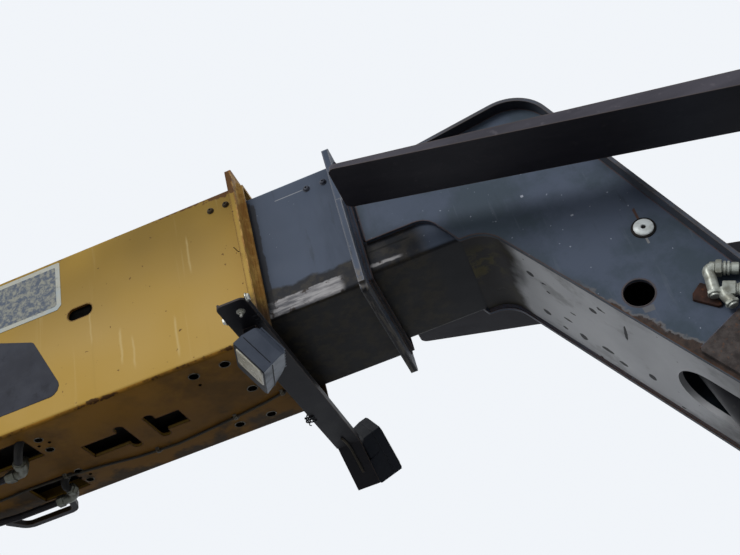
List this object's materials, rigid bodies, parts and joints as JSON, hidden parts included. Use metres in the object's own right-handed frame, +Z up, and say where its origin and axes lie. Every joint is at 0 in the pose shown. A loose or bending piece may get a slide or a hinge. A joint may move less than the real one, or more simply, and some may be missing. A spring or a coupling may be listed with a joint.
{
  "type": "telescopic boom with fork carriage",
  "caption": "Telehandler's telescopic boom: nested box sections, gooseneck head, tilting carriage and fork tines that fold back over it.",
  "frame": {"origin": "centre of the boom's pivot bore at its rear end, on the centre plane", "axes": "+X along the boom towards the head, +Y to the boom's left, +Z up square to the boom"},
  "size_m": [5.8258, 1.19, 1.4072],
  "materials": {
    "yellow_paint": "worn satin",
    "grey_paint": "worn satin",
    "black_paint": "matt",
    "tine_steel": "worn matt",
    "bare_steel": "zinc plated",
    "polished_rod": "polished",
    "pad_plastic": "matt",
    "lamp_plastic": "matt"
  },
  "bodies": {
    "outer": {"outer_section": "yellow_paint", "outer_collar": "yellow_paint", "outer_front_pads": "pad_plastic", "boom_pivot_tube": "yellow_paint", "rear_cheeks": "yellow_paint", "lift_cylinder_ears": "yellow_paint", "slave_cylinder_ears": "yellow_paint", "extension_anchor": "grey_paint", "extension_rod": "polished_rod", "lamp_bar": "black_paint", "lamp_right": "lamp_plastic", "lamp_left": "lamp_plastic", "lamp_bracket_right": "black_paint", "lamp_bracket_left": "black_paint", "underside_guard": "yellow_paint", "feed_pipes": "black_paint", "lamp_cable": "lamp_plastic"},
    "middle": {"mid_section": "grey_paint", "mid_collar": "grey_paint", "mid_front_pads": "pad_plastic", "mid_rear_pads": "pad_plastic", "mid_bulkhead": "grey_paint", "extension_barrel": "black_paint"},
    "inner": {"inner_section": "grey_paint", "inner_rear_pads": "pad_plastic", "head_side_left": "grey_paint", "head_side_right": "grey_paint", "head_top_plate": "grey_paint", "head_floor_plate": "grey_paint", "nose_boss": "grey_paint", "nose_doublers": "grey_paint", "coupling_bracket": "grey_paint", "tilt_base_pin": "bare_steel"},
    "tilt_cylinder_barrel": {"tilt_barrel": "black_paint"},
    "tilt_cylinder_rod": {"tilt_rod": "polished_rod"},
    "carriage": {"nose_pin": "bare_steel", "coupler": "grey_paint", "crank_pin_caps": "bare_steel", "hook_shaft": "bare_steel", "lock_pin": "bare_steel", "carriage_frame": "grey_paint", "fork_shaft": "bare_steel"},
    "left_tine": {"tine_left": "tine_steel"},
    "right_tine": {"tine_right": "tine_steel"}
  },
  "joints": [
    {"name": "middle_section_slide", "type": "slide", "parent": "outer", "child": "middle", "axis": [1, 0, 0], "range_m": [0, 3]},
    {"name": "inner_section_slide", "type": "slide", "parent": "middle", "child": "inner", "axis": [1, 0, 0], "range_m": [0, 3]},
    {"name": "carriage_tilt", "type": "hinge", "parent": "inner", "child": "carriage", "pos_m": [5.178, 0, -0.874], "axis": [0, -1, 0], "range_deg": [-102, 10]},
    {"name": "tilt_cylinder_swing", "type": "hinge", "parent": "inner", "child": "tilt_cylinder_barrel", "pos_m": [4.934, 0, -0.274], "axis": [0, -1, 0], "range_deg": [-5, 5]},
    {"name": "tilt_rod_slide", "type": "slide", "parent": "tilt_cylinder_barrel", "child": "tilt_cylinder_rod", "axis": [0.1827, 0, -0.9832], "range_m": [-0.26, 0.03]},
    {"name": "left_tine_fold", "type": "hinge", "parent": "carriage", "child": "left_tine", "pos_m": [5.5203, 0, -0.7429], "axis": [0, 1, 0], "range_deg": [0, 160]},
    {"name": "right_tine_fold", "type": "hinge", "parent": "carriage", "child": "right_tine", "pos_m": [5.5203, 0, -0.7429], "axis": [0, 1, 0], "range_deg": [0, 160]}
  ],
  "couplings": [
    {"joint": "inner_section_slide", "follows": "middle_section_slide", "ratio": 1},
    {"joint": "tilt_cylinder_swing", "follows": "carriage_tilt", "ratio": -0.031},
    {"joint": "tilt_rod_slide", "follows": "carriage_tilt", "m_per_rad": 0.142}
  ]
}
